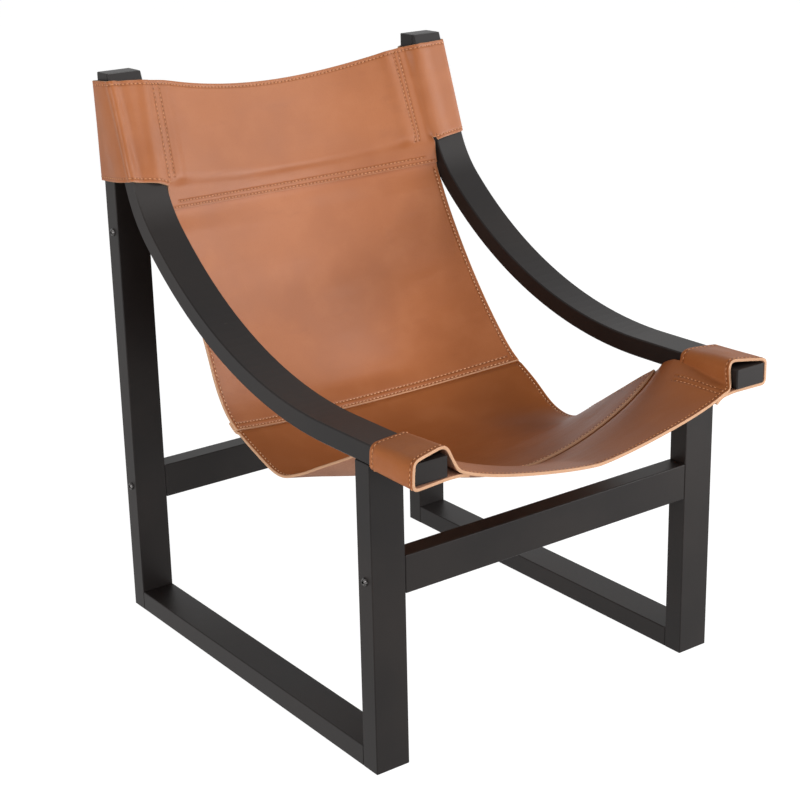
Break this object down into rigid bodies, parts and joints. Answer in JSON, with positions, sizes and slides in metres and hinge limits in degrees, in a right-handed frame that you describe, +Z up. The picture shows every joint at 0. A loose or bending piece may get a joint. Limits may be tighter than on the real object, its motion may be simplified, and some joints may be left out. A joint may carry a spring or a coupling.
{
  "type": "sling lounge chair",
  "caption": "Low lounge chair: two dark wood side frames with swept arm rails joined by cross rails, and a stitched leather sling hung between the post tops and the rail ends.",
  "frame": {"origin": "on the floor, under the middle of the whole chair's width and depth", "axes": "+X to the right as seen from in front, +Y to the back, +Z up; the seat faces -Y"},
  "size_m": [0.5782, 0.7067, 0.8],
  "materials": {
    "frame_paint": "satin near-black paint over wood",
    "sling_leather": "smooth saddle leather, semi-gloss, pale cut edges",
    "bolt_steel": "plain zinc-grey steel",
    "dowel_wood": "plain beech"
  },
  "bodies": {
    "root": {"left_rear_post": "frame_paint", "left_front_leg": "frame_paint", "left_floor_rail": "frame_paint", "left_curved_rail": "frame_paint", "left_floor_front_dowel_1": "dowel_wood", "left_floor_front_dowel_2": "dowel_wood", "left_floor_rear_dowel_1": "dowel_wood", "left_floor_rear_dowel_2": "dowel_wood", "left_leg_top_dowel_1": "dowel_wood", "left_leg_top_dowel_2": "dowel_wood", "left_post_top_dowel_1": "dowel_wood", "left_post_top_dowel_2": "dowel_wood", "right_rear_post": "frame_paint", "right_front_leg": "frame_paint", "right_floor_rail": "frame_paint", "right_curved_rail": "frame_paint", "right_floor_front_dowel_1": "dowel_wood", "right_floor_front_dowel_2": "dowel_wood", "right_floor_rear_dowel_1": "dowel_wood", "right_floor_rear_dowel_2": "dowel_wood", "right_leg_top_dowel_1": "dowel_wood", "right_leg_top_dowel_2": "dowel_wood", "right_post_top_dowel_1": "dowel_wood", "right_post_top_dowel_2": "dowel_wood", "front_cross_rail": "frame_paint", "front_left_bolt": "bolt_steel", "front_left_barrel_nut": "bolt_steel", "front_left_dowel": "dowel_wood", "front_right_bolt": "bolt_steel", "front_right_barrel_nut": "bolt_steel", "front_right_dowel": "dowel_wood", "rear_lower_cross_rail": "frame_paint", "rear_lower_left_bolt": "bolt_steel", "rear_lower_left_barrel_nut": "bolt_steel", "rear_lower_left_dowel": "dowel_wood", "rear_lower_right_bolt": "bolt_steel", "rear_lower_right_barrel_nut": "bolt_steel", "rear_lower_right_dowel": "dowel_wood", "rear_upper_cross_rail": "frame_paint", "rear_upper_left_bolt": "bolt_steel", "rear_upper_left_barrel_nut": "bolt_steel", "rear_upper_left_dowel": "dowel_wood", "rear_upper_right_bolt": "bolt_steel", "rear_upper_right_barrel_nut": "bolt_steel", "rear_upper_right_dowel": "dowel_wood", "top_band": "sling_leather", "back_panel": "sling_leather", "seat_panel": "sling_leather", "front_band": "sling_leather"}
  },
  "joints": []
}
